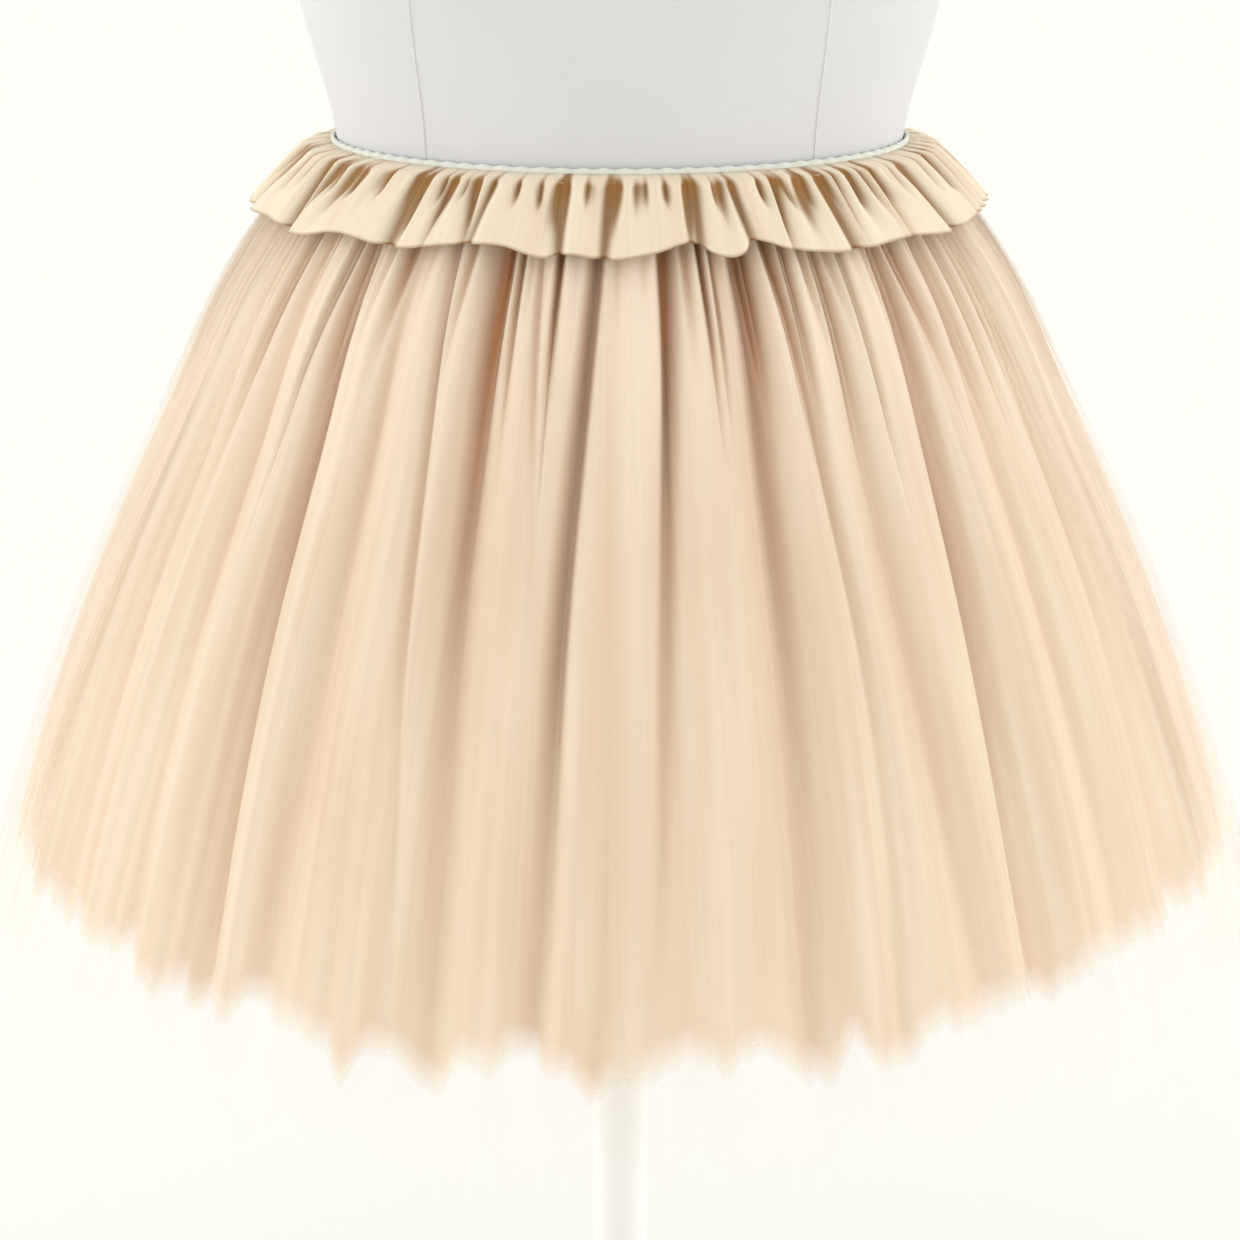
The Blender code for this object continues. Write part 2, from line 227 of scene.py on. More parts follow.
class Wiring:
    """Adds and links nodes in one node tree."""

    def __init__(self, tree: bpy.types.NodeTree) -> None:
        """Keeps the tree."""
        self.tree = tree

    def add(self, kind: str, inputs: dict | None = None, **settings: object) -> bpy.types.Node:
        """Adds a node.

        Args:
            kind: The node's type name without its ShaderNode prefix.
            inputs: Socket name or number to a value or to the socket that feeds it.
            settings: Attributes of the node.

        Returns:
            The new node.
        """
        node = self.tree.nodes.new("ShaderNode" + kind)
        for name, value in settings.items():
            setattr(node, name, value)
        self.feed_all(node, inputs or {})
        return node

    def feed_all(self, node: bpy.types.Node, inputs: dict) -> None:
        """Feeds several inputs of a node.

        Args:
            node: The node.
            inputs: Socket name or number to a value or to the socket that feeds it.
        """
        for name, value in inputs.items():
            self.feed(node.inputs[name], value)

    def feed(self, socket: Socket, value: object) -> None:
        """Links a socket to another, or sets its value.

        Args:
            socket: The socket to feed.
            value: Another socket, or a plain value.
        """
        if isinstance(value, Socket):
            self.tree.links.new(value, socket)
        else:
            socket.default_value = value

    def math(self, operation: str, *values: object, clamp: bool = False) -> Socket:
        """A Math node's result for one to three values."""
        node = self.add("Math", dict(enumerate(values)), operation=operation, use_clamp=clamp)
        return node.outputs[0]

    def ramp(self, value: object, low: float, high: float, to_low: object = 0.0,
             to_high: object = 1.0) -> Socket:
        """A clamped change of range from low..high to to_low..to_high."""
        inputs = {"Value": value, "From Min": low, "From Max": high,
                  "To Min": to_low, "To Max": to_high}
        return self.add("MapRange", inputs, clamp=True).outputs["Result"]

    def mix(self, share: object, one: object, other: object) -> Socket:
        """A mix of two colours, all the other one at a share of 1."""
        return self.add("Mix", {0: share, 6: one, 7: other}, data_type="RGBA").outputs[2]

    def bump(self, height: object, strength: float) -> Socket:
        """A normal for a relief a fifth of a millimetre high."""
        inputs = {"Height": height, "Strength": strength, "Distance": 0.0002}
        return self.add("Bump", inputs).outputs["Normal"]


Group = tuple[Wiring, bpy.types.Node, bpy.types.Node]


def new_group(name: str, inputs: dict[str, float], outputs: tuple[str, ...]) -> Group:
    """An empty shader node group.

    Args:
        name: The group's name.
        inputs: Named values with their defaults. A Vector input is always added first.
        outputs: Names of the values that it puts out.

    Returns:
        Its wiring, its input node and its output node.
    """
    tree = bpy.data.node_groups.new(name, "ShaderNodeTree")
    tree.interface.new_socket("Vector", in_out="INPUT", socket_type="NodeSocketVector")
    for label, default in inputs.items():
        socket = tree.interface.new_socket(label, in_out="INPUT", socket_type="NodeSocketFloat")
        socket.default_value = default
    for label in outputs:
        tree.interface.new_socket(label, in_out="OUTPUT", socket_type="NodeSocketFloat")
    return Wiring(tree), tree.nodes.new("NodeGroupInput"), tree.nodes.new("NodeGroupOutput")


def build_streak_group() -> bpy.types.NodeTree:
    """Long soft streaks that run down a cloth, from its UV map in metres.

    Returns:
        A group that puts out Fine and Broad streaks, 0 to 1.
    """
    wiring, given, out = new_group(
        "cloth_streaks",
        {"Fine Width": 0.0022, "Broad Width": 0.018, "Length": 0.16, "Seed": 0.0},
        ("Fine", "Broad"))
    parts = wiring.add("SeparateXYZ", {0: given.outputs["Vector"]})
    down = wiring.math("DIVIDE", parts.outputs["Y"], given.outputs["Length"])
    for label, width in (("Fine", "Fine Width"), ("Broad", "Broad Width")):
        across = wiring.math("DIVIDE", parts.outputs["X"], given.outputs[width])
        across = wiring.math("ADD", across, given.outputs["Seed"])
        place = wiring.add("CombineXYZ", {0: across, 1: down})
        noise = wiring.add("TexNoise", {"Vector": place.outputs[0], "Scale": 1.0, "Detail": 1.0},
                           noise_dimensions="2D")
        spread = wiring.ramp(noise.outputs["Fac"], 0.28, 0.72)
        wiring.feed(out.inputs[label], spread)
    return wiring.tree


def build_net_group() -> bpy.types.NodeTree:
    """The rows of small holes of a net, from a UV map in metres.

    Returns:
        A group that puts out Net: 1 on the threads, 0 in the holes.
    """
    wiring, given, out = new_group("net_holes", {"Hole Size": 0.0014}, ("Net",))
    parts = wiring.add("SeparateXYZ", {0: given.outputs["Vector"]})
    turn = wiring.math("DIVIDE", math.pi, given.outputs["Hole Size"])
    slants = [
        wiring.math("MULTIPLY_ADD", parts.outputs["Y"], slope, parts.outputs["X"])
        for slope in (0.577, -0.577)
    ]
    waves = [wiring.math("SINE", wiring.math("MULTIPLY", slant, turn)) for slant in slants]
    holes = wiring.math("ABSOLUTE", wiring.math("MULTIPLY", *waves))
    wiring.feed(out.inputs["Net"], wiring.ramp(holes, 0.05, 0.45, 1.0, 0.0))
    return wiring.tree


def build_weave_group() -> bpy.types.NodeTree:
    """A plain weave or fine knit, from a UV map or object place in metres.

    Returns:
        A group that puts out Weave, 0 to 1.
    """
    wiring, given, out = new_group("plain_weave", {"Thread": 0.0005, "Unevenness": 0.3}, ("Weave",))
    parts = wiring.add("SeparateXYZ", {0: given.outputs["Vector"]})
    turn = wiring.math("DIVIDE", math.pi, given.outputs["Thread"])
    waves = [
        wiring.math("SINE", wiring.math("MULTIPLY", parts.outputs[axis], turn))
        for axis in ("X", "Y")
    ]
    cross = wiring.math("MULTIPLY_ADD", wiring.math("MULTIPLY", *waves), 0.5, 0.5)
    noise = wiring.add("TexNoise", {"Vector": given.outputs["Vector"], "Scale": 900.0,
                                    "Detail": 2.0})
    uneven = wiring.math("MULTIPLY", noise.outputs["Fac"], given.outputs["Unevenness"])
    wiring.feed(out.inputs["Weave"], wiring.math("ADD", cross, uneven))
    return wiring.tree


@dataclass(frozen=True)
class Effects:
    """Shader groups that several finishes share."""

    streaks: bpy.types.NodeTree
    net: bpy.types.NodeTree
    weave: bpy.types.NodeTree

    @classmethod
    def build(cls) -> "Effects":
        """Builds each group once."""
        return cls(build_streak_group(), build_net_group(), build_weave_group())


def start_material(name: str) -> tuple[Wiring, bpy.types.Node]:
    """A new material.

    Args:
        name: The material's name.

    Returns:
        Its wiring and its Principled BSDF.
    """
    material = bpy.data.materials.new(name)
    material.use_nodes = True
    return Wiring(material.node_tree), material.node_tree.nodes["Principled BSDF"]


# ---- Finishes ------------------------------------------------------------------------------


@dataclass(frozen=True)
class ClothFinish:
    """A finish for one layer of the skirt, in three colours.

    Ridge and blush lie in broad streaks side by side, and valley is painted shade that fills
    the folds as deep as the mark fold says. A finish with a hem_fade is sheer: its cover is how
    much of what is behind it hides, at the waist and at the hem, and it runs out to nothing over
    the hem_fade, unevenly by hem_ragged.
    """

    name: str
    ridge: Color
    valley: Color
    blush: Color
    roughness: float
    sheen: float
    gloss: float = 0.15
    cover_at_waist: float = 1.0
    cover_at_hem: float = 1.0
    streak_cover: float = 0.0
    hem_fade: float = 0.0
    hem_ragged: float = 0.0
    seed: float = 0.0
    relief: float = 0.12
    line_depth: float = 0.09
    # pale and pale_at_top: a painted highlight near the top, which also stands for the denser
    # gathered cloth there
    pale: Color = shade(248, 238, 220)
    pale_at_top: float = 0.0
    pale_ends: tuple[float, float] = (0.04, 0.15)
    cover_ends: tuple[float, float] = (0.10, 0.33)

    def build(self, effects: Effects) -> Material:
        """Builds the material.

        Args:
            effects: The shared shader groups.

        Returns:
            The material, which reads the UV map in metres, the mark fold of painted shade, and
            the marks to_hem and cover.
        """
        wiring, shader = start_material(self.name)
        uv = wiring.add("UVMap", uv_map="cloth").outputs["UV"]
        streaks = wiring.add("Group", {"Vector": uv, "Seed": self.seed}, node_tree=effects.streaks)
        fine, broad = streaks.outputs["Fine"], streaks.outputs["Broad"]
        down = wiring.add("SeparateXYZ", {0: uv}).outputs["Y"]
        # Painted shade: the mark fold mixes valley into the folds, tucks and pockets.
        depth = wiring.add("Attribute", attribute_name="fold").outputs["Fac"]

        surface = wiring.mix(broad, self.ridge, self.blush)
        # Painted highlight: near the top the cloth is mixed towards pale, which also stands for its
        # denser gathers.
        if self.pale_at_top:
            share = wiring.ramp(down, *self.pale_ends, self.pale_at_top, 0.0)
            surface = wiring.mix(share, surface, self.pale)
        if self.line_depth:
            thread_lines = wiring.ramp(fine, 0.55, 1.0, 0.0, self.line_depth)
            depth = wiring.math("ADD", thread_lines, depth, clamp=True)
        wiring.feed_all(shader, {
            "Base Color": wiring.mix(depth, surface, self.valley), "Roughness": self.roughness,
            "Sheen Weight": self.sheen, "Sheen Roughness": 0.5, "Specular IOR Level": self.gloss})

        if self.relief:
            net = wiring.add("Group", {"Vector": uv}, node_tree=effects.net)
            wiring.feed(shader.inputs["Normal"], wiring.bump(net.outputs["Net"], self.relief))
        if self.hem_fade:
            wiring.feed(shader.inputs["Alpha"], self._cover(wiring, down, broad))
        return bpy.data.materials[self.name]

    def _cover(self, wiring: Wiring, down: Socket, streak: Socket) -> Socket:
        """How much the sheer cloth covers, from its place, its streaks and its frayed hem.

        Args:
            wiring: The material's wiring.
            down: The cloth's drop.
            streak: Its broad streaks, 0 to 1.

        Returns:
            The socket for Alpha.
        """
        base = wiring.ramp(down, *self.cover_ends, self.cover_at_waist, self.cover_at_hem)
        added = wiring.math("MULTIPLY", wiring.math("SUBTRACT", streak, 0.5), self.streak_cover)
        side = wiring.add("Attribute", attribute_name="cover").outputs["Fac"]
        cover = wiring.math("MULTIPLY", wiring.math("ADD", base, added), side, clamp=True)
        to_hem = wiring.add("Attribute", attribute_name="to_hem").outputs["Fac"]
        ragged = wiring.math("MULTIPLY_ADD", streak, -self.hem_ragged, to_hem)
        ends = wiring.ramp(ragged, 0.0, self.hem_fade)
        return wiring.math("MULTIPLY", cover, ends, clamp=True)


@dataclass(frozen=True)
class WovenFinish:
    """A plain woven or knitted cover on Object coordinates."""

    name: str
    color: Color
    shadow: Color
    roughness: float
    thread: float
    relief: float = 0.2

    def build(self, effects: Effects) -> Material:
        """Builds the material.

        Args:
            effects: The shared shader groups.

        Returns:
            The material.
        """
        wiring, shader = start_material(self.name)
        place = wiring.add("TexCoord").outputs["Object"]
        turned = wiring.add("Mapping", {"Vector": place, "Rotation": (math.radians(90), 0, 0)})
        weave = wiring.add("Group", {"Vector": turned.outputs[0], "Thread": self.thread},
                           node_tree=effects.weave)
        clouds = wiring.add("TexNoise", {"Vector": place, "Scale": 9.0, "Detail": 3.0})
        share = wiring.math("MULTIPLY_ADD", weave.outputs[0], 0.25,
                            wiring.ramp(clouds.outputs["Fac"], 0.35, 0.75, 0.0, 0.5), clamp=True)
        wiring.feed_all(shader, {
            "Base Color": wiring.mix(share, self.color, self.shadow), "Roughness": self.roughness,
            "Sheen Weight": 0.15, "Specular IOR Level": 0.2,
            "Normal": wiring.bump(weave.outputs[0], self.relief)})
        return bpy.data.materials[self.name]


@dataclass(frozen=True)
class PaintFinish:
    """Satin paint on steel, with a faint orange-peel and dust."""

    name: str
    color: Color
    dust: Color
    roughness: float = 0.38

    def build(self) -> Material:
        """Builds the material.

        Returns:
            The material.
        """
        wiring, shader = start_material(self.name)
        place = wiring.add("TexCoord").outputs["Object"]
        peel = wiring.add("TexNoise", {"Vector": place, "Scale": 420.0, "Detail": 2.0})
        cloud = wiring.add("TexNoise", {"Vector": place, "Scale": 14.0, "Detail": 5.0})
        dust = wiring.ramp(cloud.outputs["Fac"], 0.45, 0.75, 0.0, 0.6)
        rough = wiring.ramp(cloud.outputs["Fac"], 0.3, 0.7, self.roughness, self.roughness + 0.14)
        wiring.feed_all(shader, {
            "Base Color": wiring.mix(dust, self.color, self.dust), "Roughness": rough,
            "Normal": wiring.bump(peel.outputs["Fac"], 0.12)})
        return bpy.data.materials[self.name]


# ---- The skirt's shape ---------------------------------------------------------------------


class Side(Enum):
    """The two halves that each layer is cut in, by the angle of their middle."""

    FRONT = 0.0
    BACK = 180.0

    @property
    def word(self) -> str:
        """The half's name in piece and node names."""
        return self.name.lower()


@dataclass(frozen=True)
class Bell:
    """The skirt's outline with no folds: an ellipse at each drop."""

    top_z: float
    top_half_width: float = 0.1320
    top_half_depth: float = 0.1045
    drops: tuple[float, ...] = (0.0, 0.020, 0.050, 0.118, 0.186, 0.256, 0.327, 0.400)
    out_side: tuple[float, ...] = (0.0, 0.015, 0.036, 0.069, 0.100, 0.126, 0.147, 0.165)
    out_front: tuple[float, ...] = (0.0, 0.013, 0.031, 0.063, 0.093, 0.120, 0.143, 0.161)

    def point(self, angle: Array, drop: Array, inwards: Array) -> Array:
        """Points on or inside the bell.

        Args:
            angle: Angles round the skirt.
            drop: Drops, of the same shape.
            inwards: How far inside the bell, of the same shape.

        Returns:
            An array of that shape with x, y and z last.
        """
        half_width = self.top_half_width + curve_through(self.drops, self.out_side, drop)
        half_depth = self.top_half_depth + curve_through(self.drops, self.out_front, drop)
        turn = np.radians(angle)
        return np.stack([(half_width - inwards) * np.sin(turn),
                         -(half_depth - inwards) * np.cos(turn),
                         self.top_z - drop], axis=-1)

    def share_of_side(self, angle: Array) -> Array:
        """0 at the centre front and back, 1 at the side seams."""
        return np.sin(np.radians(angle)) ** 2


@dataclass(frozen=True)
class Fold:
    """A long fold between two tubes of cloth, from the gathers towards the hem.

    The first three values are its angle at the top, halfway and at the hem, the last three its
    depth there. Crisp is the share of the depth that a narrow crease takes at its bottom. Lean
    is positive where the side towards the larger angles is the gentle one.
    """

    top: float
    middle: float
    hem: float
    half_width: float
    crisp: float
    lean: float
    depth_top: float
    depth_middle: float
    depth_hem: float

    def draws_in(self, angle: Array, share_down: Array) -> Pair:
        """How far it draws the cloth in, for 0 at the waist to 1 at the hem.

        Args:
            angle: Angles round the skirt.
            share_down: Shares of the way down, of the same shape.

        Returns:
            The depth of the round hollow and that of the crease in it.
        """
        keys = (0.0, 0.5, 1.0)
        at = curve_through(keys, (self.top, self.middle, self.hem), share_down)
        deep = curve_through(keys, (self.depth_top, self.depth_middle, self.depth_hem), share_down)
        deep = np.maximum(deep, 0.0)
        turn = turn_between(angle, at)
        width = self.half_width * (1.0 + self.lean * np.tanh(turn)) * (1.0 - 0.12 * share_down)
        away = np.clip(np.abs(turn) / width, 0.0, 1.0)
        hollow = 0.5 + 0.5 * np.cos(np.pi * away)
        crease = 1.0 - np.sin(0.5 * np.pi * blunt(away / CREASE_SHARE, CREASE_ROUND))
        crisp = self.crisp * (1.0 - 0.5 * smooth_step((share_down - 0.35) / 0.6))
        return deep * (1.0 - crisp) * hollow, deep * crisp * crease


FRONT_FOLDS = (
    Fold(-84.0, -84.5, -84.0, 6.0, 0.3, 0.0, 0.003, 0.004, 0.004),
    Fold(-75.0, -74.0, -75.0, 6.0, 0.4, 0.2, 0.007, 0.009, 0.007),
    Fold(-64.0, -62.5, -60.0, 5.0, 0.3, -0.2, 0.007, 0.007, 0.005),
    Fold(-54.0, -51.0, -49.5, 5.5, 0.4, 0.0, 0.009, 0.008, 0.006),
    Fold(-43.0, -40.5, -40.2, 6.0, 0.65, -0.3, 0.020, 0.020, 0.013),
    Fold(-33.5, -31.8, -33.0, 4.4, 0.3, 0.2, 0.007, 0.010, 0.007),
    Fold(-27.2, -22.8, -20.0, 2.6, 0.6, 0.0, 0.010, 0.006, 0.002),
    Fold(-19.6, -17.8, -16.8, 5.8, 0.4, 0.25, 0.020, 0.020, 0.013),
    Fold(-13.0, -9.2, -8.6, 2.2, 0.5, 0.0, 0.010, 0.000, 0.000),
    Fold(-2.6, -6.3, -7.5, 4.6, 0.8, -0.3, 0.018, 0.018, 0.010),
    Fold(-0.6, -1.0, -2.0, 4.0, 0.3, 0.0, 0.000, 0.004, 0.010),
    Fold(8.2, 4.6, 2.2, 4.2, 0.7, 0.2, 0.015, 0.012, 0.001),
    Fold(19.6, 18.0, 16.9, 5.8, 0.4, -0.25, 0.020, 0.020, 0.013),
    Fold(24.4, 25.6, 25.0, 2.8, 0.6, 0.0, 0.010, 0.007, 0.002),
    Fold(32.4, 31.2, 34.4, 4.4, 0.3, -0.2, 0.007, 0.010, 0.007),
    Fold(44.6, 40.6, 40.2, 6.0, 0.65, 0.3, 0.020, 0.020, 0.013),
    Fold(54.5, 52.0, 51.0, 5.5, 0.4, 0.0, 0.009, 0.008, 0.006),
    Fold(65.5, 63.0, 60.5, 5.0, 0.3, 0.2, 0.008, 0.008, 0.006),
    Fold(76.0, 75.0, 74.0, 6.0, 0.4, -0.2, 0.007, 0.009, 0.007),
    Fold(84.0, 84.0, 84.5, 6.0, 0.3, 0.0, 0.003, 0.004, 0.004),
)

BACK_FOLDS = (
    Fold(97.0, 97.0, 98.0, 6.5, 0.4, 0.0, 0.003, 0.005, 0.005),
    Fold(108.0, 109.0, 110.0, 6.4, 0.6, 0.25, 0.015, 0.018, 0.012),
    Fold(118.5, 121.0, 120.0, 4.6, 0.3, 0.0, 0.007, 0.009, 0.006),
    Fold(130.5, 130.0, 132.0, 6.8, 0.5, -0.25, 0.018, 0.021, 0.014),
    Fold(141.0, 143.0, 142.0, 4.0, 0.4, 0.2, 0.008, 0.008, 0.006),
    Fold(151.0, 152.5, 154.0, 6.2, 0.6, 0.0, 0.014, 0.017, 0.011),
    Fold(160.5, 163.0, 162.0, 3.4, 0.6, 0.0, 0.010, 0.008, 0.003),
    Fold(172.5, 171.0, 172.0, 6.8, 0.5, 0.3, 0.019, 0.021, 0.014),
    Fold(183.5, 183.0, 181.0, 4.2, 0.4, -0.2, 0.007, 0.009, 0.007),
    Fold(194.5, 195.0, 196.0, 6.4, 0.7, 0.0, 0.017, 0.019, 0.013),
    Fold(205.5, 205.0, 207.0, 4.0, 0.3, 0.2, 0.008, 0.008, 0.004),
    Fold(217.0, 216.0, 215.0, 6.8, 0.45, 0.3, 0.018, 0.020, 0.013),
    Fold(228.5, 229.0, 231.0, 4.6, 0.5, -0.2, 0.009, 0.010, 0.005),
    Fold(239.5, 241.0, 240.0, 6.2, 0.65, 0.0, 0.015, 0.018, 0.012),
    Fold(251.0, 250.0, 252.0, 4.8, 0.3, 0.2, 0.007, 0.009, 0.006),
    Fold(262.5, 263.0, 262.0, 6.0, 0.4, 0.0, 0.003, 0.005, 0.005),
)


@dataclass(frozen=True)
class Gathers:
    """The many small tucks of one row of stitches, which fade as the cloth fans out.

    They are at their deepest at the drop full_at, and then run on for a length of their own
    between the shortest and the longest. A smaller width_power makes them narrower.
    """

    count: int
    depth: float
    full_at: float
    shortest: float
    longest: float
    width_power: float
    seed: int
    weakest: float = 0.15
    roundness: float = 0.12
    wide_for: float = 0.03

    def draws_in(self, angle: Array, drop: Array) -> Array:
        """How far the tucks draw the cloth in.

        Args:
            angle: Angles round the skirt.
            drop: Drops, of the same shape.

        Returns:
            Depths of the same shape.
        """
        draw = np.random.default_rng(self.seed)
        steps = draw.uniform(0.5, 1.5, self.count)
        starts = np.concatenate([[0.0], np.cumsum(steps / steps.sum() * 360.0)])
        gaps = np.arange(self.count + 1)
        bold = smooth_step(2.0 * draw.uniform(-0.2, 0.8, self.count))
        strength = self.weakest + (1.0 - self.weakest) * bold
        spread = self.longest - self.shortest
        length = self.shortest + spread * strength ** 1.5 * draw.uniform(0.5, 1.0, self.count)
        drift = draw.uniform(-0.4, 0.4, self.count)
        drift = np.append(drift, drift[0])
        tuck = np.interp(np.mod(angle, 360.0), starts, gaps)
        tuck = tuck + np.interp(tuck, gaps, drift) * drop / self.longest
        nearest = np.round(tuck)
        past = np.maximum(drop - self.full_at, 0.0)
        power = self.width_power * (0.6 + 0.9 * np.exp(-past / self.wide_for))
        wave = 1.0 - blunt(np.abs(np.sin(np.pi * tuck)), self.roundness) ** power
        start = 0.25 + 0.75 * smooth_step(drop / self.full_at)
        at_gap = np.mod(nearest, self.count).astype(int)
        fade = np.exp(-(past / length[at_gap]) ** 2)
        return self.depth * strength[at_gap] * wave * start * fade


@dataclass(frozen=True)
class Ripples:
    """Narrow waves all the way down a layer, each layer with its own."""

    seed: int
    count: int = 150
    at_top: float = 0.0002
    at_hem: float = 0.0016

    def inwards(self, angle: Array, share_down: Array) -> Array:
        """How far the waves draw the cloth in.

        Args:
            angle: Angles round the skirt.
            share_down: Shares of the way down, of the same shape.

        Returns:
            Depths of the same shape.
        """
        draw = np.random.default_rng(self.seed)
        total = np.zeros_like(angle)
        for multiple, weight in ((1.0, 0.5), (0.53, 0.5)):
            count = round(self.count * multiple)
            sway = closed_draw(draw, -1.0, 1.0, count) * 0.32
            place, marks = among_marks(angle, count)
            place = place + np.interp(place, marks, sway)
            swell = np.interp(place, marks, draw.uniform(0.2, 1.0, count + 1))
            turned = place + draw.uniform(-0.4, 0.4) * share_down
            total += weight * swell * (0.5 - 0.5 * np.cos(2.0 * np.pi * turned))
        return total * (self.at_top + (self.at_hem - self.at_top) * share_down)


@dataclass(frozen=True)
class Hem:
    """A ragged hem, as drops at the centre front and back and at the sides.

    Each of the points is an angle and how much longer the cloth is round it.
    """

    front: float
    side: float
    points: tuple[tuple[float, float], ...]
    rough: float
    seed: int
    point_width: float = 2.2

    def drop(self, angle: Array) -> Array:
        """How far down the cloth hangs.

        Args:
            angle: Angles round the skirt.

        Returns:
            A drop for each of them.
        """
        side_share = np.sin(np.radians(angle)) ** 2
        level = self.front + (self.side - self.front) * side_share
        draw = np.random.default_rng(self.seed)
        longer = np.zeros_like(angle)
        for count, share in ((26, 0.55), (67, 0.35), (190, 0.08)):
            waves = closed_draw(draw, -1.0, 1.0, count)
            longer += share * self.rough * np.interp(*among_marks(angle, count), waves)
        for at, extra in self.points:
            longer += extra * np.exp(-(turn_between(angle, at) / self.point_width) ** 2)
        return level + longer


@dataclass(frozen=True)
class Layer:
    """One layer of the skirt, how it is cut and how finely it is built.

    It lies steps_in layer steps inside the bell and takes a share of the folds' hollows and
    creases. Towards the side seams its ripples calm down, side_room moves it inwards, and
    side_cover gives its last two values of the mark cover.
    """

    name: str
    steps_in: float
    hollow_share: float
    crease_share: float
    hem: Hem
    ripples: Ripples
    cut_width: float
    cut_length: float
    cut_area: float | None
    columns: int
    rows: int
    thickness: float = 0.0
    side_room: float = 0.0
    side_cover: tuple[float, float] = (1.0, 1.0)
    side_calm: float = 0.0


@dataclass
class SkirtShape:
    """Every surface of the skirt, from the bell, the folds and the gathers.

    The folds are held back near the waist, until the drop held_until, and never take more than
    the room there, which grows with the drop. The shade weights say how strongly the hollows,
    creases and tucks count in the mark fold, which is painted shade in them.
    """

    bell: Bell
    gathers: Gathers
    step_top: float = 0.0019
    step_hem: float = 0.0080
    seam_gap: float = 0.0004
    radius: float = 0.2
    deepest: float = 0.012
    room_at_top: float = 0.010
    room_growth: float = 0.32
    sway: float = 0.5
    start: float = 0.0022
    crowding: float = 1.15
    held_until: float = 0.042
    hollow_shade: float = 0.34
    crease_shade: float = 1.05
    tuck_shade: float = 1.35

    def across(self, radius: float, columns: int) -> Array:
        """The columns of one half, up to half a gap from the side seams.

        Args:
            radius: About how far from the skirt's axis the gap is.
            columns: How many there are.

        Returns:
            Their angles from the middle of the half.
        """
        reach = 90.0 - math.degrees(self.seam_gap / 2.0 / radius)
        return np.linspace(-reach, reach, columns)

    def fold_depths(self, angle: Array, share_down: Array) -> Pair:
        """How far the long folds draw the cloth in.

        Args:
            angle: Angles round the skirt.
            share_down: Shares of the way down, of the same shape.

        Returns:
            The depth of their hollows and that of their creases.
        """
        hollows, creases = np.zeros_like(angle), np.zeros_like(angle)
        swayed = angle + self.sway * np.sin(7.0 * share_down + angle / 19.0) * share_down
        for fold in FRONT_FOLDS + BACK_FOLDS:
            hollow, crease = fold.draws_in(swayed, share_down)
            hollows += hollow
            creases += crease
        return hollows, creases

    def sheet(self, layer: Layer, side: Side) -> SheetData:
        """The points of one half of a layer, row by row from its top edge.

        Args:
            layer: The layer.
            side: Front or back.

        Returns:
            Points, cloth places in metres and the marks fold, to_hem and cover, each with rows
            first and columns next.
        """
        across = self.across(self.radius, layer.columns)
        down = np.linspace(0.0, 1.0, layer.rows) ** self.crowding
        angle, share = np.meshgrid(side.value + across, down)
        hem_drop = layer.hem.drop(angle)
        start = self.start * (2.0 + layer.steps_in)
        drop = start + (hem_drop - start) * share
        share_down = drop / HEM_LENGTH
        opened = smooth_step(drop / self.bell.drops[-1])
        step = self.step_top + (self.step_hem - self.step_top) * opened
        hold = 0.06 + 0.94 * smooth_step(drop / self.held_until)
        hollows, creases = self.fold_depths(angle, share_down)
        hollows = hollows * hold * layer.hollow_share
        creases = creases * hold * layer.crease_share
        tucks = self.gathers.draws_in(angle, drop)
        room = self.room_at_top + self.room_growth * drop
        drawn = soft_limit(hollows + creases + tucks, room)
        aside = self.bell.share_of_side(angle)
        ripples = layer.ripples.inwards(angle, share_down) * (1.0 - layer.side_calm * aside ** 4)
        room_aside = layer.side_room * aside ** 3 * smooth_step(drop / 0.20)
        inwards = layer.steps_in * step + drawn + ripples + room_aside
        points = self.bell.point(angle, drop, inwards)

        # Painted shade: the mark fold darkens the hollows, creases and tucks, less towards the hem
        # and at the side seams.
        paler = 1.0 - 0.85 * smooth_step(1.25 * share_down)
        depth = ((self.hollow_shade * hollows / self.deepest
                  + self.crease_shade * (creases / self.deepest) ** 0.75) * paler
                 + self.tuck_shade * (tucks / self.gathers.depth) ** 1.5)
        cover = np.interp(np.sqrt(aside), SIDE_REACH, (1.0, 1.0, *layer.side_cover))
        marks = {"fold": np.clip(depth * (1.0 - 0.6 * aside ** 2), 0.0, 1.0),
                 "to_hem": hem_drop - drop, "cover": cover}
        return points, cloth_place(across, layer.cut_width, drop), marks


def cloth_place(across: Array, cut_width: float, drop: Array) -> Array:
    """Where points lie on the flat cloth.

    Args:
        across: The columns' angles from the middle of their half of the skirt.
        cut_width: The half's width when cut.
        drop: Drops in rows and columns.

    Returns:
        Rows, columns and the place across and down, in metres.
    """
    return np.stack([np.broadcast_to(across / 180.0 * cut_width, drop.shape), drop], axis=-1)


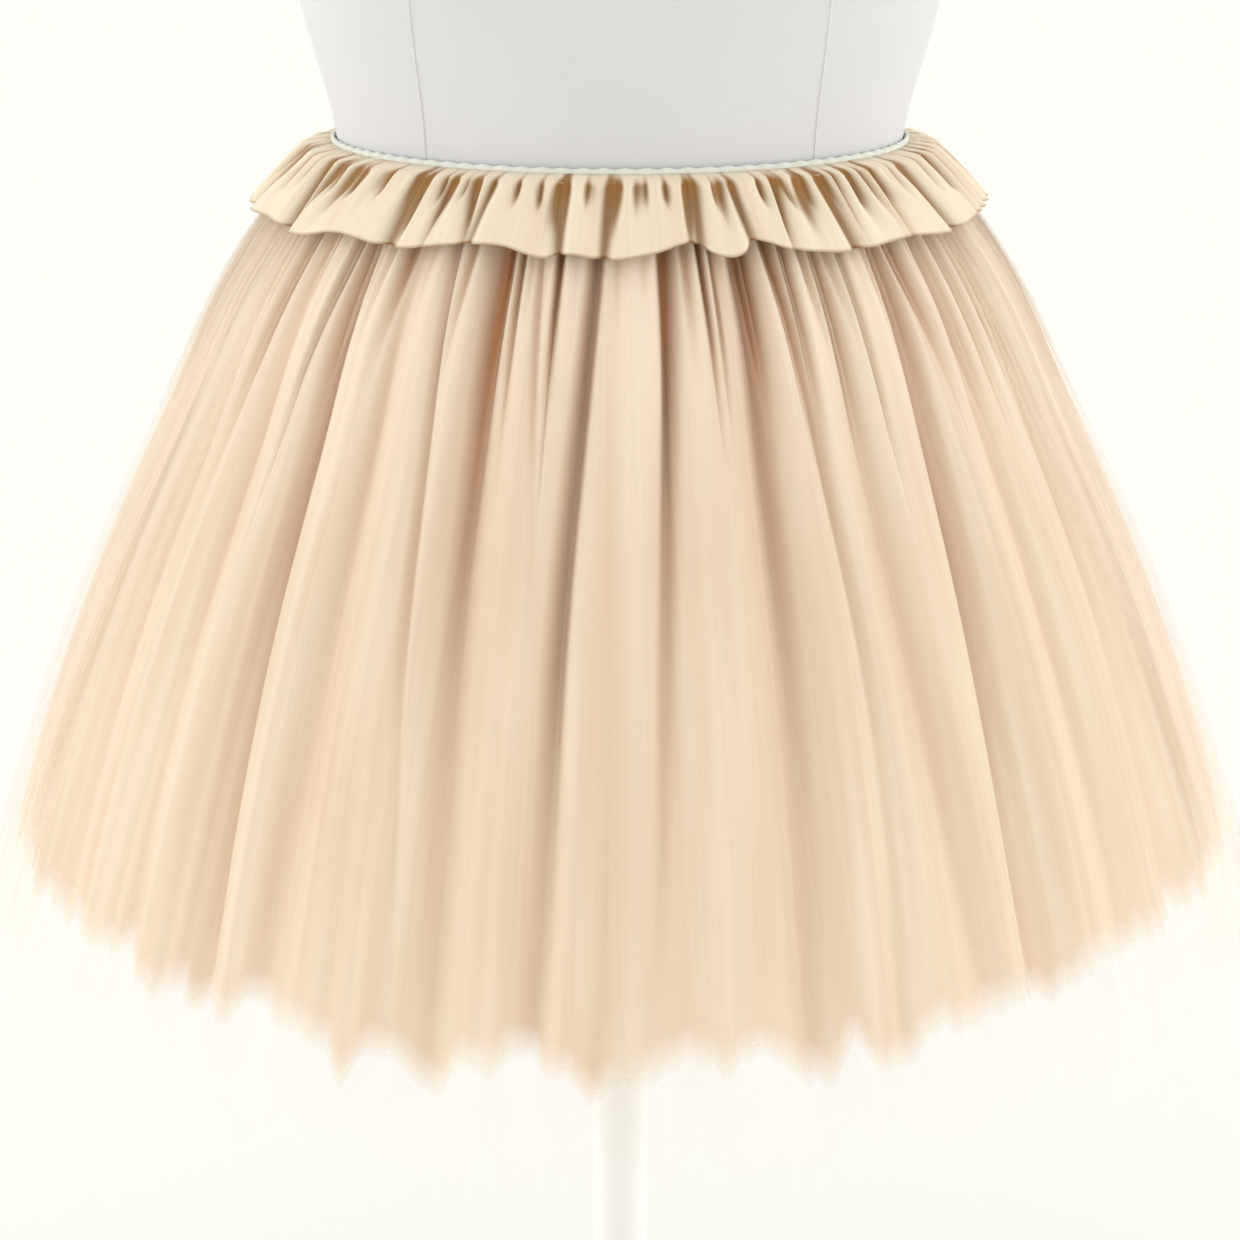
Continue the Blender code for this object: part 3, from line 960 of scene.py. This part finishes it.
def sheet_object(name: str, points: Array, place: Array | None = None,
                 marks: dict[str, Array] | None = None) -> bpy.types.Object:
    """A sheet from rows of points, facing away from the skirt's axis.

    Args:
        name: The piece's name.
        points: Rows, columns and x, y, z.
        place: Rows, columns and cloth place in metres, which becomes the UV map. A sheet
            without one is a loop, and its last column joins the first.
        marks: Attribute names and their values in rows and columns: fold is painted shade, 0 on
        a ridge to 1 deep in a fold, to_hem is in metres, cover is a share of how much a sheer
        layer covers.

    Returns:
        The new object, shaded smooth.
    """
    rows, columns = points.shape[:2]
    row = np.arange(rows - 1)[:, None] * columns
    here = np.arange(columns if place is None else columns - 1)
    there = (here + 1) % columns
    faces = np.stack([row + here, row + columns + here, row + columns + there, row + there],
                     axis=-1).reshape(-1, 4)
    mesh = bpy.data.meshes.new(name)
    mesh.from_pydata(points.reshape(-1, 3).tolist(), [], faces.tolist())
    if place is not None:
        corners = place.reshape(-1, 2)[faces.reshape(-1)]
        uv = mesh.uv_layers.new(name="cloth")
        uv.data.foreach_set("uv", corners.astype(np.float32).reshape(-1))
    for label, values in (marks or {}).items():
        attribute = mesh.attributes.new(label, "FLOAT", "POINT")
        attribute.data.foreach_set("value", values.astype(np.float32).reshape(-1))
    mesh.shade_smooth()
    return add_object(name, mesh)


# ---- The skirt's pieces --------------------------------------------------------------------


@dataclass
class Skirt:
    """The gathered layers, each with a finish for its body and one for its edges, and a slot."""

    shape: SkirtShape
    layers: tuple[tuple[Layer, Material, Material, str], ...]
    hem_reach: float = 0.030

    def build(self) -> None:
        """Builds and dresses the front and back of each layer."""
        for layer, body, edge, slot in self.layers:
            for side in Side:
                self._half(layer, side, body, edge, slot)

    def _half(self, layer: Layer, side: Side, body: Material, edge: Material, slot: str) -> None:
        """Builds one half of one layer.

        Args:
            layer: The layer.
            side: Front or back.
            body: Its finish.
            edge: The finish of its edges, or the same again.
            slot: The record's material slot.
        """
        node = f"{layer.name}_{side.word}"
        obj = sheet_object(f"{node}_cloth", *self.shape.sheet(layer, side))
        if layer.thickness:
            thicken(obj, layer.thickness)
        dress(obj, body, slot, node)
        if edge is not body:
            self._finish_edges(obj.data, edge)

    def _finish_edges(self, mesh: bpy.types.Mesh, edge: Material) -> None:
        """Gives the faces near the hem and the side seams a finish of their own.

        Args:
            mesh: The layer's mesh.
            edge: The finish.
        """
        mesh.materials.append(edge)
        to_hem, cover = mesh.attributes["to_hem"].data, mesh.attributes["cover"].data
        for face in mesh.polygons:
            near_hem = min(to_hem[i].value for i in face.vertices) < self.hem_reach
            near_side = min(cover[i].value for i in face.vertices) < 1.0
            face.material_index = int(near_hem or near_side)


@dataclass(frozen=True)
class Flute:
    """A tuck in the ruffle. A pocket closes before it reaches the edge, a narrow one sooner.

    Lean is how many degrees its foot lies aside of its head.
    """

    angle: float
    half_width: float
    depth: float
    pocket: bool = False
    lean: float = 0.0


FRONT_FLUTES = (
    Flute(-83.0, 3.2, 0.0075),
    Flute(-78.0, 1.8, 0.0050, True),
    Flute(-73.0, 2.8, 0.0060, True),
    Flute(-68.0, 1.9, 0.0050, True),
    Flute(-63.0, 3.4, 0.0085, False, 2.0),
    Flute(-57.0, 1.8, 0.0060, True),
    Flute(-51.5, 2.2, 0.0070, True),
    Flute(-44.0, 1.5, 0.0060, True, -0.6),
    Flute(-37.0, 2.8, 0.0090),
    Flute(-31.6, 1.4, 0.0065, True, 0.5),
    Flute(-27.4, 1.2, 0.0050, True),
    Flute(-22.5, 1.8, 0.0065, False, -1.0),
    Flute(-17.6, 1.2, 0.0050, True, 0.4),
    Flute(-13.5, 1.6, 0.0065, True, 0.6),
    Flute(-9.5, 2.0, 0.0090, False, 0.5),
    Flute(-5.6, 1.1, 0.0045, True),
    Flute(-2.0, 2.2, 0.0090, False, -0.6),
    Flute(4.4, 1.1, 0.0045, True, -0.5),
    Flute(7.8, 1.4, 0.0060, True, 0.4),
    Flute(12.6, 2.0, 0.0095, False, -0.6),
    Flute(16.0, 1.1, 0.0050, True),
    Flute(19.6, 2.0, 0.0085, False, 1.2),
    Flute(24.6, 1.4, 0.0065, True, -0.4),
    Flute(29.5, 1.8, 0.0060, True, 1.2),
    Flute(33.4, 1.2, 0.0050, True),
    Flute(37.0, 2.8, 0.0090, False, 0.8),
    Flute(43.5, 1.6, 0.0060, True, 0.6),
    Flute(50.5, 2.4, 0.0070, True, 0.5),
    Flute(55.4, 1.5, 0.0050, True),
    Flute(60.0, 3.4, 0.0085, False, 2.5),
    Flute(66.0, 1.9, 0.0055, True),
    Flute(71.5, 2.8, 0.0060, True),
    Flute(77.0, 1.8, 0.0050, True),
    Flute(82.0, 3.2, 0.0075),
)


@dataclass
class Ruffle:
    """The satin heading that stands out over the gathers.

    It starts rolled_in over the band and flares out from off_tulle, and no tuck reaches deeper
    than the pocket_floor above the tulle. A pocket is closed at the pocket_share of the way
    down, later the wider it is, and it starts to close closes_over before that.
    """

    shape: SkirtShape
    gathers: Gathers
    material: Material
    off_tulle: float = 0.0028
    pocket_floor: float = 0.0018
    flare: float = 0.0078
    rolled_in: float = 0.0082
    thickness: float = 0.0005
    pocket_share: float = 0.40
    pocket_growth: float = 0.11
    closes_over: float = 0.3
    # hem_shade paints a shadow line along the hem, over hem_shade_width above it.
    hem_shade_width: float = 0.0012
    hem_shade: float = 0.55
    radius: float = 0.15
    columns: int = 780
    rows: int = 26
    crowding: float = 1.1
    cut_width: float = 0.56
    cut_length: float = 0.034

    def flutes(self, side: Side) -> tuple[Flute, ...]:
        """The deep tucks of one half; behind, the front's in mirrored order, unevenly shifted.

        Args:
            side: Front or back.

        Returns:
            Its tucks.
        """
        if side is Side.FRONT:
            return FRONT_FLUTES
        return tuple(
            replace(flute, lean=-flute.lean,
                    angle=180.0 - flute.angle * 0.97 + 1.5 * math.sin(flute.angle))
            for flute in FRONT_FLUTES
        )

    def build(self) -> None:
        """Builds and dresses the front and back."""
        for side in Side:
            node = f"ruffle_{side.word}"
            obj = sheet_object(f"{node}_cloth", *self._points(side))
            thicken(obj, self.thickness)
            dress(obj, self.material, "satin", node)

    def _hem(self, angle: Array, side: Side) -> Array:
        """How far down the ruffle reaches; behind, its hem waves the other way round.

        Args:
            angle: Angles round the skirt.
            side: Front or back.

        Returns:
            A drop for each angle.
        """
        keys, drops = zip(*RUFFLE_HEM)
        turn = turn_between(angle, side.value)
        return curve_through(keys, drops, -turn if side is Side.BACK else turn)

    def _points(self, side: Side) -> SheetData:
        """Rows of points of one half.

        Args:
            side: Front or back.

        Returns:
            Points, cloth places in metres and the mark fold.
        """
        across = self.shape.across(self.radius, self.columns)
        angle, share = np.meshgrid(side.value + across,
                                   np.linspace(0.0, 1.0, self.rows) ** self.crowding)
        hem = self._hem(angle, side)
        drop = hem * share
        deep = np.zeros_like(angle)
        for flute in self.flutes(side):
            at = flute.angle + flute.lean * (share - 0.3)
            away = np.clip(np.abs(turn_between(angle, at)) / flute.half_width, 0.0, 1.0)
            if flute.pocket:
                closed_at = self.pocket_share + self.pocket_growth * flute.half_width
                closing = smooth_step((closed_at - share) / self.closes_over)
            else:
                closing = 1.0 - 0.3 * share
            deep += flute.depth * (1.0 - np.sin(0.5 * np.pi * away)) * closing
        tucks = (deep * (0.5 + 0.5 * smooth_step(share / 0.16))
                 + self.gathers.draws_in(angle, drop))
        rest = self.off_tulle + self.flare * share ** 0.4
        out = rest - soft_limit(tucks, rest - self.pocket_floor)
        roll = self.rolled_in * (1.0 - smooth_step(share / 0.08))
        points = self.shape.bell.point(angle, drop, roll - out)
        # Painted shade: fold darkens the flutes, pockets and tucks, and edge paints a shadow line
        # along the hem.
        fold = smooth_step((tucks - 0.0012) / 0.0050) * (1.0 - 0.3 * share)
        edge = self.hem_shade * (1.0 - smooth_step((hem - drop) / self.hem_shade_width))
        marks = {"fold": np.clip(fold + edge, 0.0, 1.0)}
        return points, cloth_place(across, self.cut_width, drop), marks


@dataclass
class Waistband:
    """The elastic loop inside the gathers, with its frilled upper edge."""

    shape: SkirtShape
    material: Material
    height: float = 0.026
    thickness: float = 0.0012
    inside: float = 0.0060
    spread: float = 0.001
    frill: float = 0.00035
    frills: int = 90
    cut_width: float = 0.70
    columns: int = 720
    rows: int = 14

    def build(self) -> None:
        """Builds and dresses the loop."""
        bell = self.shape.bell
        angle, share = np.meshgrid(np.linspace(0.0, 360.0, self.columns, endpoint=False),
                                   np.linspace(0.0, 1.0, self.rows))
        drop = self.height * share - BAND_ABOVE_GATHERS
        wave = np.sin(np.radians(angle * self.frills))
        frill = self.frill * wave * (1.0 - smooth_step(share / 0.25))
        half_width = bell.top_half_width - self.inside + self.spread * share + frill
        half_depth = bell.top_half_depth - self.inside + self.spread * share + frill
        turn = np.radians(angle)
        points = np.stack([half_width * np.sin(turn), -half_depth * np.cos(turn),
                           bell.top_z - drop + frill], axis=-1)
        obj = sheet_object("waistband_elastic", points)
        thicken(obj, self.thickness)
        dress(obj, self.material, "elastic", "waistband")


# ---- The dress form and its stand ----------------------------------------------------------


@dataclass
class DressForm:
    """The limbless torso with its sewn cover.

    The seams end a gap short of its foot and of its top. They lie seam_aside from the middle
    at the foot, at the four seam_heights from the waist and near the top.
    """

    cover: Material
    thread: Material
    seam_radius: float = 0.0006
    waist_above_foot: float = 0.245
    seam_ends: tuple[float, float] = (0.004, 0.118)
    seam_heights: tuple[float, ...] = (-0.12, 0.0, 0.075, 0.18)
    seam_aside: tuple[float, ...] = (0.092, 0.094, 0.082, 0.088, 0.082, 0.100)

    def build(self) -> None:
        """Builds the torso from the frame's own, then lays the cover's seams on it."""
        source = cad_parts["form_torso"]
        torso = add_object("form_torso_cover", source.data.copy())
        select_only(torso)
        bpy.ops.object.mode_set(mode="EDIT")
        bpy.ops.mesh.select_all(action="SELECT")
        bpy.ops.mesh.remove_doubles(threshold=0.00002)
        bpy.ops.mesh.tris_convert_to_quads(face_threshold=math.radians(35.0),
                                           shape_threshold=math.radians(60.0))
        bpy.ops.mesh.select_all(action="DESELECT")
        bpy.ops.mesh.select_mode(type="EDGE")
        bpy.ops.mesh.edges_select_sharp(sharpness=math.radians(40.0))
        bpy.ops.transform.edge_crease(value=0.9)
        bpy.ops.object.mode_set(mode="OBJECT")
        smooth = torso.modifiers.new("smooth", "SUBSURF")
        smooth.levels = 2
        smooth.render_levels = 2
        bpy.ops.object.modifier_apply(modifier="smooth")
        bpy.ops.object.shade_smooth_by_angle(angle=math.radians(40.0))
        dress(torso, self.cover, "form_cover", "form_torso")
        self._seams(torso)

    def _seams(self, torso: bpy.types.Object) -> None:
        """Lays thin raised seams down the torso.

        Args:
            torso: The cover that they lie on.
        """
        tree = BVHTree.FromObject(torso, bpy.context.evaluated_depsgraph_get())
        low, high = (np.array(corner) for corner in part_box("form_torso"))
        waist = low[2] + self.waist_above_foot
        keys = (low[2], *(waist + height for height in self.seam_heights), high[2] - 0.12)
        foot_gap, top_gap = self.seam_ends
        lines = {
            "princess_left": (-1.0, 1.0), "princess_right": (1.0, 1.0),
            "back_left": (-1.0, -1.0), "back_right": (1.0, -1.0), "centre_back": (0.0, -1.0),
        }
        for name, (side, front) in lines.items():
            points = []
            for z in np.linspace(low[2] + foot_gap, high[2] - top_gap, 120):
                x = side * float(curve_through(keys, self.seam_aside, np.array(z)))
                hit = tree.ray_cast(Vector((x, -front * 0.6, z)), Vector((0.0, front, 0.0)))[0]
                if hit is not None:
                    points.append(hit)
            self._seam(f"form_seam_{name}", points)

    def _seam(self, name: str, points: list[Vector]) -> None:
        """One seam as a thin tube half sunk in the cover.

        Args:
            name: The seam's name.
            points: Its points on the cover.
        """
        curve = bpy.data.curves.new(name, "CURVE")
        curve.dimensions = "3D"
        curve.bevel_depth = self.seam_radius
        curve.bevel_resolution = 2
        curve.use_fill_caps = True
        spline = curve.splines.new("POLY")
        spline.points.add(len(points) - 1)
        for target, point in zip(spline.points, points):
            target.co = (*point, 1.0)
        obj = add_object(name, curve)
        select_only(obj)
        bpy.ops.object.convert(target="MESH")
        obj.data.shade_smooth()
        dress(obj, self.thread, "form_cover")


@dataclass
class Stand:
    """The neck cap, the post and the weighted base plate."""

    paint: Material
    plate_edge: float = 0.0025
    cap_edge: float = 0.009

    def build(self) -> None:
        """Builds and dresses the three pieces."""
        self._round_piece("stand_base", 160, self.plate_edge)
        self._round_piece("stand_post", 64, 0.0)
        self._round_piece("form_neck_cap", 96, self.cap_edge)

    def _round_piece(self, node: str, around: int, edge: float) -> None:
        """A cylinder in a node's box, with rounded rims.

        Args:
            node: The CAD node.
            around: How many sides it has.
            edge: The rims' radius, or 0 for sharp ones. The neck cap has one at its top only.
        """
        low, high = (Vector(corner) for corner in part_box(node))
        bpy.ops.object.select_all(action="DESELECT")
        bpy.ops.mesh.primitive_cylinder_add(vertices=around, radius=(high.x - low.x) / 2.0,
                                            depth=high.z - low.z, location=(low + high) / 2.0)
        obj = bpy.context.object
        obj.name = f"{node}_painted"
        apply_place(obj)
        if edge:
            bpy.ops.object.mode_set(mode="EDIT")
            bpy.ops.mesh.select_all(action="DESELECT")
            bpy.ops.object.mode_set(mode="OBJECT")
            rims = (high.z,) if node == "form_neck_cap" else (low.z, high.z)
            for line in obj.data.edges:
                ends = [obj.data.vertices[i].co.z for i in line.vertices]
                line.select = any(abs(ends[0] - z) < 1e-5 and abs(ends[1] - z) < 1e-5 for z in rims)
            bpy.ops.object.mode_set(mode="EDIT")
            bpy.ops.mesh.select_mode(type="EDGE")
            bpy.ops.mesh.bevel(offset=edge, segments=6, affect="EDGES")
            bpy.ops.object.mode_set(mode="OBJECT")
        bpy.ops.object.shade_smooth_by_angle(angle=math.radians(35.0))
        dress(obj, self.paint, "stand_paint", node)


# ---- The studio ----------------------------------------------------------------------------


@dataclass
class Studio:
    """Pale floor, soft lights and the camera."""

    waist_z: float
    distance: float = 1.93
    above_waist: float = 0.30
    tilt: float = 15.04
    lens: float = 128.9
    surround: float = 0.645
    side_glow: float = 3.1
    overhead: float = 0.13
    backdrop: float = 0.97
    softbox_place: tuple[float, float, float] = (-0.5, -3.0, 2.6)
    softbox_aim: tuple[float, float, float] = (0.0, 0.0, 0.5)
    softbox_size: float = 2.0
    softbox_power: float = 9.0

    def build(self) -> None:
        """Builds the floor, the light and the camera."""
        self._floor()
        self._world()
        self._softbox()
        self._camera()

    def _floor(self) -> None:
        """A wide pale floor."""
        bpy.ops.object.select_all(action="DESELECT")
        bpy.ops.mesh.primitive_plane_add(size=40.0, location=(0.0, 0.0, 0.0))
        floor = bpy.context.object
        floor.name = "studio_floor"
        apply_place(floor)
        wiring, shader = start_material("studio_paper")
        wiring.feed_all(shader, {"Base Color": shade(253, 253, 248), "Roughness": 1.0,
                                 "Specular IOR Level": 0.0})
        floor.data.materials.append(bpy.data.materials["studio_paper"])

    def _world(self) -> None:
        """A white surround, brighter at both sides and overhead, behind a plain backdrop."""
        scene = bpy.context.scene
        scene.world = bpy.data.worlds.new("studio_surround")
        scene.world.use_nodes = True
        wiring = Wiring(scene.world.node_tree)
        background = scene.world.node_tree.nodes["Background"]
        background.inputs["Color"].default_value = (1.0, 1.0, 0.985, 1.0)
        towards = wiring.add("SeparateXYZ", {0: wiring.add("TexCoord").outputs["Generated"]})
        sideways = wiring.math("POWER", wiring.math("ABSOLUTE", towards.outputs["X"]), 3.0)
        level = wiring.ramp(wiring.math("ABSOLUTE", towards.outputs["Z"]), 0.2, 0.8, 1.0, 0.0)
        glow = wiring.math("MULTIPLY", wiring.math("MULTIPLY", sideways, level), self.side_glow)
        above = wiring.ramp(towards.outputs["Z"], 0.4, 0.7, self.surround,
                            self.surround + self.overhead)
        seen = wiring.add("LightPath").outputs["Is Camera Ray"]
        light = wiring.math("ADD", glow, above)
        strength = wiring.ramp(seen, 0.0, 1.0, light, self.backdrop)
        wiring.feed(background.inputs["Strength"], strength)
        scene.view_settings.view_transform = "Standard"

    def _softbox(self) -> None:
        """A square soft light in front, aimed at the middle of the skirt."""
        data = bpy.data.lights.new("front_softbox", "AREA")
        data.shape = "SQUARE"
        data.size = self.softbox_size
        data.energy = self.softbox_power
        lamp = add_object("front_softbox", data)
        lamp.location = self.softbox_place
        aim = Vector(self.softbox_aim) - lamp.location
        lamp.rotation_euler = aim.to_track_quat("-Z", "Y").to_euler()

    def _camera(self) -> None:
        """The camera, in front of the waist and looking slightly down."""
        data = bpy.data.cameras.new("view")
        data.lens = self.lens
        data.sensor_width = 36.0
        camera = add_object("view", data)
        camera.location = (0.0, -self.distance, self.waist_z + self.above_waist)
        camera.rotation_euler = (math.radians(90.0 - self.tilt), 0.0, 0.0)
        bpy.context.scene.camera = camera


# ---- Making it all -------------------------------------------------------------------------


SHEER = ClothFinish("tulle_sheer", ridge=shade(244, 231, 210), valley=shade(222, 184, 142),
                    blush=shade(240, 219, 199), roughness=0.9, sheen=0.0, gloss=0.0,
                    cover_at_waist=0.22, cover_at_hem=0.17, streak_cover=0.14, hem_fade=0.034,
                    hem_ragged=0.026, seed=3.0, relief=0.0, line_depth=0.0)
FULL = ClothFinish("tulle_body", ridge=shade(233, 217, 192), valley=shade(190, 132, 82),
                   blush=shade(230, 205, 179), roughness=0.9, sheen=0.2, seed=11.0,
                   pale_at_top=0.60, line_depth=0.07)
FULL_EDGE = replace(FULL, name="tulle_edge", cover_at_waist=1.15, cover_at_hem=1.15,
                    streak_cover=0.1, hem_fade=0.015, hem_ragged=0.010, relief=0.0,
                    line_depth=0.0)
LINING = ClothFinish("satin_lining", ridge=shade(250, 236, 212), valley=shade(236, 202, 168),
                     blush=shade(250, 230, 206), roughness=0.6, sheen=0.0, gloss=0.0,
                     seed=19.0, relief=0.0)
SATIN = ClothFinish("satin_ruffle", ridge=shade(234, 221, 196), valley=shade(142, 96, 42),
                    blush=shade(230, 211, 184), roughness=0.42, sheen=0.08, seed=27.0,
                    relief=0.0, line_depth=0.05)
ELASTIC = WovenFinish("elastic_weave", shade(229, 230, 223), shade(210, 214, 203), 0.8, 0.0007)
JERSEY = WovenFinish("form_jersey", shade(217, 216, 217), shade(207, 206, 207), 0.9, 0.0006, 0.12)
THREAD = WovenFinish("form_seam", shade(226, 225, 225), shade(200, 199, 200), 0.8, 0.0004)
PAINT = PaintFinish("stand_white", shade(241, 241, 238), shade(235, 235, 231))

INNER_HEM_POINTS = ((-46.0, 0.009), (-40.0, 0.006), (-23.5, 0.012), (-16.5, 0.013), (-2.4, 0.013),
                   (13.0, 0.004), (17.0, 0.013), (23.5, 0.014), (32.0, 0.004), (41.0, 0.009),
                   (109.0, 0.008), (131.0, 0.012), (152.0, 0.009), (172.0, 0.013), (195.0, 0.011),
                   (216.0, 0.012), (240.0, 0.009))

OUTER = Layer("tulle_outer", steps_in=-1.00, hollow_share=0.60, crease_share=0.15,
              hem=Hem(front=0.395, side=0.373, points=(), rough=0.005, seed=5),
              ripples=Ripples(seed=31, count=110, at_top=0.0005, at_hem=0.0022),
              cut_width=0.98, cut_length=0.388, cut_area=0.31, columns=800, rows=56,
              side_cover=(2.6, 0.5), side_calm=0.9)
INNER = Layer("tulle_inner", steps_in=0.10, hollow_share=0.70, crease_share=1.0,
              hem=Hem(front=0.346, side=0.318, points=INNER_HEM_POINTS, rough=0.004, seed=9),
              ripples=Ripples(seed=47, count=150, at_top=0.0008, at_hem=0.0026),
              cut_width=0.93, cut_length=0.353, cut_area=0.27, columns=1240, rows=60,
              side_cover=(1.0, 0.35), side_calm=0.6)
UNDER = Layer("underskirt", steps_in=1.10, hollow_share=0.70, crease_share=1.0,
              hem=Hem(front=0.325, side=0.297, points=(), rough=0.0005, seed=13),
              ripples=Ripples(seed=59, count=90, at_top=0.0001, at_hem=0.0010),
              cut_width=0.86, cut_length=0.335, cut_area=0.25, columns=520, rows=44,
              thickness=0.0005, side_room=0.006)

WAIST_GATHERS = Gathers(count=132, depth=0.0100, full_at=0.030, shortest=0.016, longest=0.070,
                        width_power=0.9, seed=7)
RUFFLE_GATHERS = Gathers(count=88, depth=0.0094, full_at=0.004, shortest=0.005, longest=0.021,
                         width_power=1.0, seed=12)

RUFFLE_HEM = ((-90.0, 0.0255), (-80.0, 0.0275), (-69.0, 0.0265), (-55.0, 0.0295), (-49.0, 0.0265),
              (-34.0, 0.0290), (-25.5, 0.0260), (-17.5, 0.0255), (-11.0, 0.0295), (-7.5, 0.0280),
              (-2.0, 0.0300), (5.0, 0.0275), (11.5, 0.0245), (13.6, 0.0278), (18.2, 0.0284),
              (19.8, 0.0252), (26.0, 0.0280), (34.0, 0.0305), (49.0, 0.0280), (59.5, 0.0295),
              (69.0, 0.0270), (84.0, 0.0255), (90.0, 0.0255))


def main() -> None:
    """Builds the studio, the skirt, the dress form and its stand."""
    logging.basicConfig(level=logging.INFO, format="%(message)s")
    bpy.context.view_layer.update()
    top_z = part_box("waistband")[1][2] - BAND_ABOVE_GATHERS
    effects = Effects.build()
    shape = SkirtShape(Bell(top_z), WAIST_GATHERS)
    sheer, lining = SHEER.build(effects), LINING.build(effects)
    Skirt(shape, (
        (OUTER, sheer, sheer, "tulle"),
        (INNER, FULL.build(effects), FULL_EDGE.build(effects), "tulle"),
        (UNDER, lining, lining, "satin"),
    )).build()
    Ruffle(shape, RUFFLE_GATHERS, SATIN.build(effects)).build()
    Waistband(shape, ELASTIC.build(effects)).build()
    DressForm(JERSEY.build(effects), THREAD.build(effects)).build()
    Stand(PAINT.build()).build()
    Studio(top_z).build()


if __name__ == "__main__":
    main()
